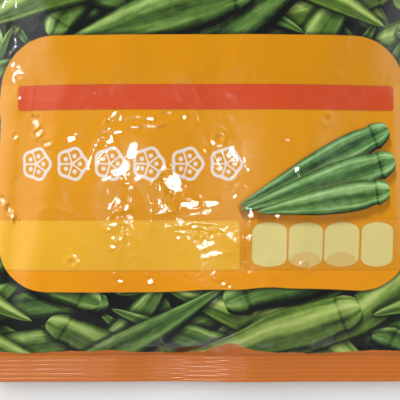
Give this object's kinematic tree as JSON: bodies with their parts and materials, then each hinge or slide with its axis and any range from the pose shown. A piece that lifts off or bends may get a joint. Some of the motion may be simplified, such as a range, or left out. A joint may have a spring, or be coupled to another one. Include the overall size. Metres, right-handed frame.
{
  "type": "bag of frozen okra",
  "caption": "Sealed pillow-shaped bag of printed plastic film with flat end seals and needle vents, filled with loose frozen whole okra pods, lying on its back.",
  "frame": {"origin": "centre of the bag's footprint, on the surface that its back lies on", "axes": "+X across the printed front to its right, +Y up the print towards the top seal, +Z out of the front"},
  "size_m": [0.208, 0.256, 0.0421],
  "materials": {
    "printed_film": "printed glossy film, orange panel over green okra print",
    "okra_pod": null
  },
  "bodies": {
    "root": {"film_bag": "printed_film", "okra_pod_01": "okra_pod", "okra_pod_02": "okra_pod", "okra_pod_03": "okra_pod", "okra_pod_04": "okra_pod", "okra_pod_05": "okra_pod", "okra_pod_06": "okra_pod", "okra_pod_07": "okra_pod", "okra_pod_08": "okra_pod", "okra_pod_09": "okra_pod", "okra_pod_10": "okra_pod", "okra_pod_11": "okra_pod", "okra_pod_12": "okra_pod", "okra_pod_13": "okra_pod", "okra_pod_14": "okra_pod", "okra_pod_15": "okra_pod", "okra_pod_16": "okra_pod", "okra_pod_17": "okra_pod", "okra_pod_18": "okra_pod", "okra_pod_19": "okra_pod", "okra_pod_20": "okra_pod", "okra_pod_21": "okra_pod", "okra_pod_22": "okra_pod", "okra_pod_23": "okra_pod", "okra_pod_24": "okra_pod", "okra_pod_25": "okra_pod", "okra_pod_26": "okra_pod"}
  },
  "joints": []
}
